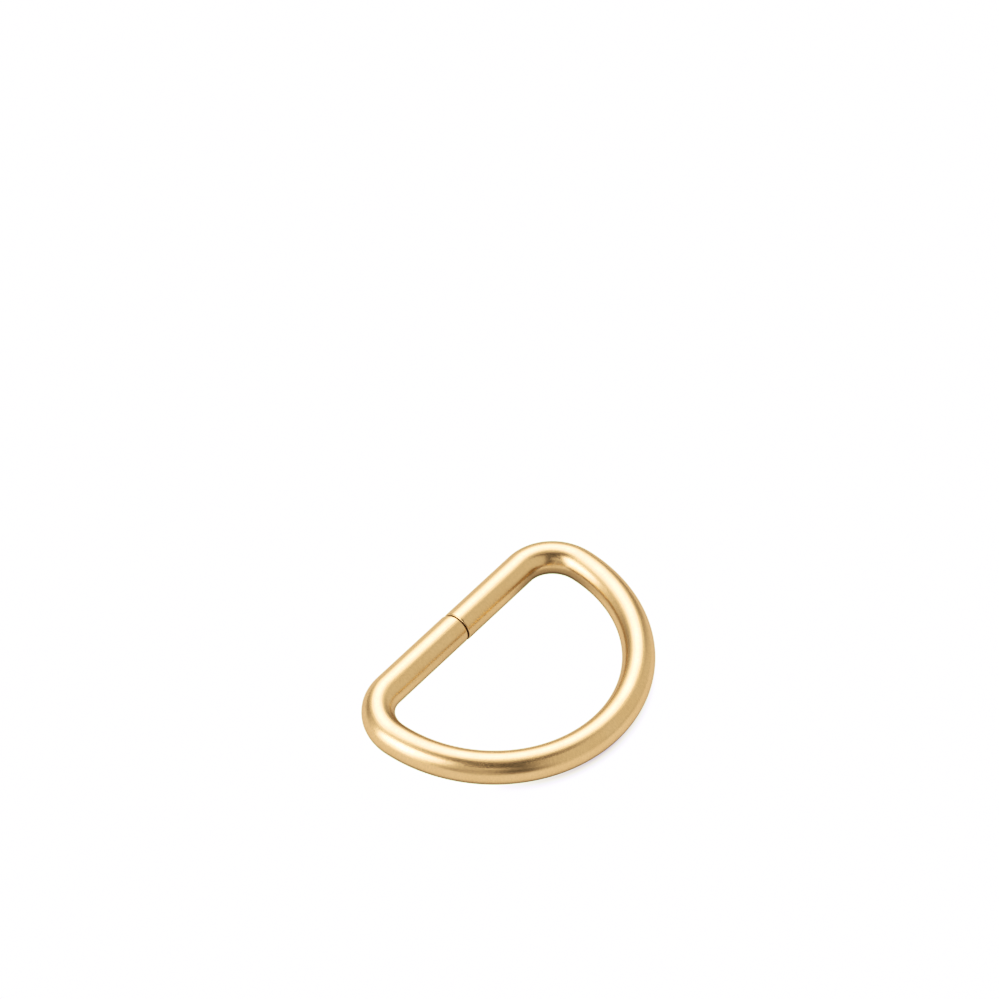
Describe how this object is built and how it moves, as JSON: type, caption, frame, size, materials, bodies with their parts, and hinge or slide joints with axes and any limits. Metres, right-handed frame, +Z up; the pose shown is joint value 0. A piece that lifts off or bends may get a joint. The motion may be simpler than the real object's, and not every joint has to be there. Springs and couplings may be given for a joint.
{
  "type": "d ring",
  "caption": "Flat-lying D ring bent from round wire: a straight bar for a strap, a half-round bow for a hook or cord, and a butt joint in the middle of the bar.",
  "frame": {"origin": "on the plane that the ring lies on, under the middle of its box", "axes": "+X along the straight bar, +Y from the bar towards the bow, +Z up, across the ring's own plane"},
  "size_m": [0.04, 0.0274, 0.004],
  "materials": {
    "satin_gold": "satin, fine grain drawn along the wire"
  },
  "bodies": {
    "root": {"d_ring": "satin_gold"}
  },
  "joints": []
}
